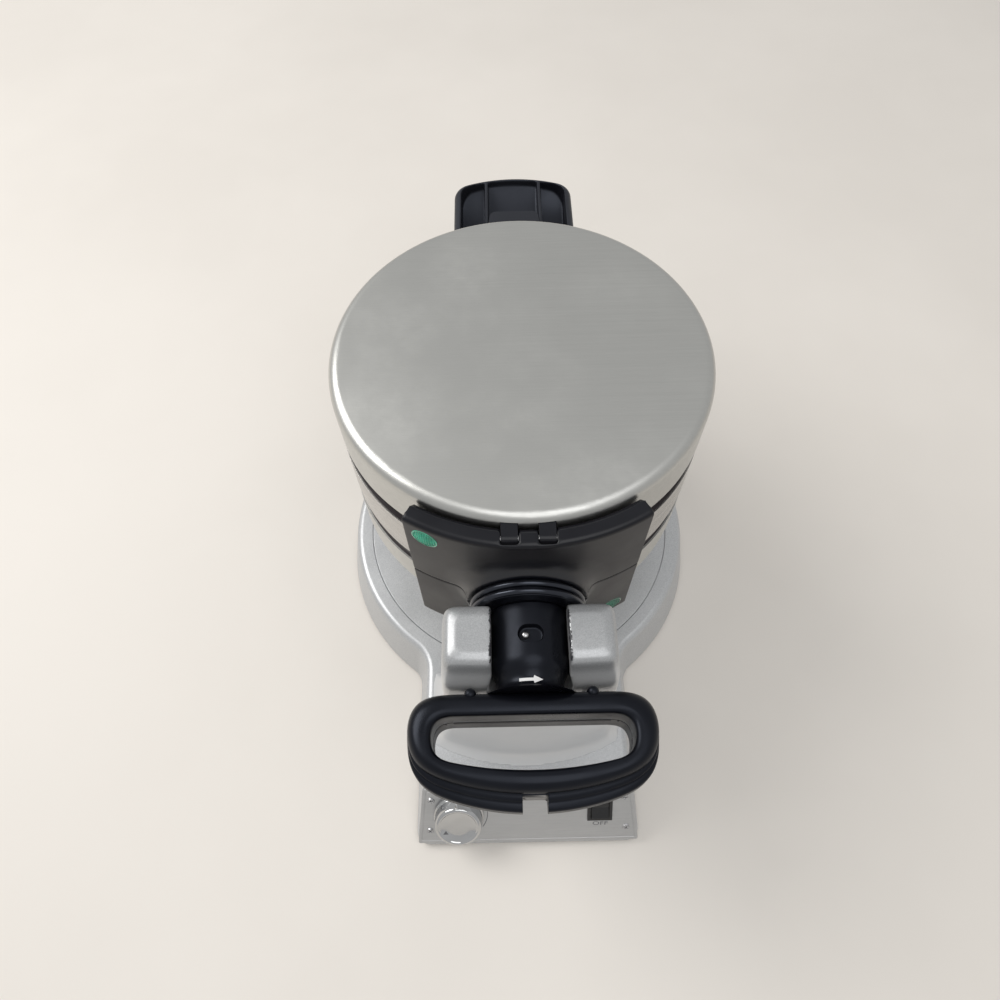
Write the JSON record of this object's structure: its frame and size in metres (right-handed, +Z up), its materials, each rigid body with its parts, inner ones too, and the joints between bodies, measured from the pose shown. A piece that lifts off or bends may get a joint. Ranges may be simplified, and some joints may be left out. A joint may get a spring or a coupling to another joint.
{
  "type": "double belgian waffle maker",
  "caption": "Tabletop waffle maker with a round head of stacked waffle cavities under hinged lids, turned in a yoke on a low stand with a sloping control panel.",
  "frame": {"origin": "on the floor at the middle of the whole footprint, under the feet", "axes": "+Z up; +Y from the control panel and turn handle, where the cook stands, to the rear handle; +X to the cook's right"},
  "size_m": [0.2552, 0.4108, 0.234],
  "materials": {
    "brushed_lid": "satin, fine straight brushing",
    "side_band_steel": "satin, brushed round the side",
    "black_moulding": "satin, fine spark texture",
    "ring_moulding": "matte",
    "silver_moulding": "metallic silver paint",
    "panel_sheet": "satin, pale silver",
    "chrome": "bright",
    "steel": "plain",
    "plate_coating": "dark non-stick coating",
    "heater_sheath": "heat-stained",
    "lens_green": "clear green, ribbed",
    "lamp_glass": "clear",
    "rubber": "matte",
    "switch_black": "gloss",
    "bearing_nylon": "matte"
  },
  "bodies": {
    "base": {"base_shell": "silver_moulding", "deck_disc": "silver_moulding", "base_bottom_cover": "black_moulding", "rubber_feet": "rubber", "base_screws": "steel", "cord_gland": "rubber", "pedestal_yoke": "silver_moulding", "neck_bearing": "bearing_nylon", "pedestal_screws": "steel", "control_panel": "panel_sheet", "control_panel_screws": "steel", "browning_control": "black_moulding", "power_switch_body": "switch_black"},
    "knob": {"browning_knob": "chrome", "browning_knob_shaft": "steel"},
    "rocker": {"power_rocker": "switch_black"},
    "head": {"middle_band": "side_band_steel", "middle_frame": "ring_moulding", "middle_upper_grid": "plate_coating", "middle_lower_grid": "plate_coating", "middle_upper_rim": "plate_coating", "middle_lower_rim": "plate_coating", "middle_heater": "heater_sheath", "middle_thermostat": "steel", "middle_plate_studs": "steel", "hinge_housing_upper": "black_moulding", "hinge_housing_lower": "black_moulding", "upper_indicator_lens": "lens_green", "lower_indicator_lens": "lens_green", "upper_indicator_lamp": "lamp_glass", "lower_indicator_lamp": "lamp_glass", "upper_hinge_pin": "steel", "lower_hinge_pin": "steel", "neck_tube": "black_moulding", "neck_screw": "steel", "neck_collar": "black_moulding", "turn_handle_upper": "black_moulding", "turn_handle_lower": "black_moulding", "turn_handle_screws": "steel", "rear_handle_upper": "black_moulding", "rear_handle_lower": "black_moulding", "rear_handle_screws": "steel"},
    "top_lid": {"top_lid_cover": "brushed_lid", "top_lid_ring": "ring_moulding", "top_lid_waffle_grid": "plate_coating", "top_lid_plate_rim": "plate_coating", "top_lid_heater": "heater_sheath", "top_lid_heat_shield": "steel", "top_lid_screws": "steel", "top_lid_hinge_bracket": "steel", "top_lid_lift_tab": "black_moulding"},
    "bottom_lid": {"bottom_lid_cover": "brushed_lid", "bottom_lid_ring": "ring_moulding", "bottom_lid_waffle_grid": "plate_coating", "bottom_lid_plate_rim": "plate_coating", "bottom_lid_heater": "heater_sheath", "bottom_lid_heat_shield": "steel", "bottom_lid_screws": "steel", "bottom_lid_hinge_bracket": "steel", "bottom_lid_lift_tab": "black_moulding"}
  },
  "joints": [
    {"name": "head_turn", "type": "hinge", "parent": "base", "child": "head", "pos_m": [0, -0.1255, 0.175], "axis": [0, -1, 0], "range_deg": [-180, 0]},
    {"name": "top_lid_hinge", "type": "hinge", "parent": "head", "child": "top_lid", "pos_m": [0, -0.092, 0.2272], "axis": [1, 0, 0], "range_deg": [0, 95]},
    {"name": "bottom_lid_hinge", "type": "hinge", "parent": "head", "child": "bottom_lid", "pos_m": [0, -0.092, 0.1228], "axis": [-1, 0, 0], "range_deg": [0, 18]},
    {"name": "browning_knob_turn", "type": "hinge", "parent": "base", "child": "knob", "pos_m": [-0.044, -0.18512, 0.02357], "axis": [0, 0.7638, -0.6455], "range_deg": [0, 270]},
    {"name": "power_rocker_tilt", "type": "hinge", "parent": "base", "child": "rocker", "pos_m": [0.046, -0.18248, 0.02592], "axis": [1, 0, 0], "range_deg": [0, 14]}
  ]
}
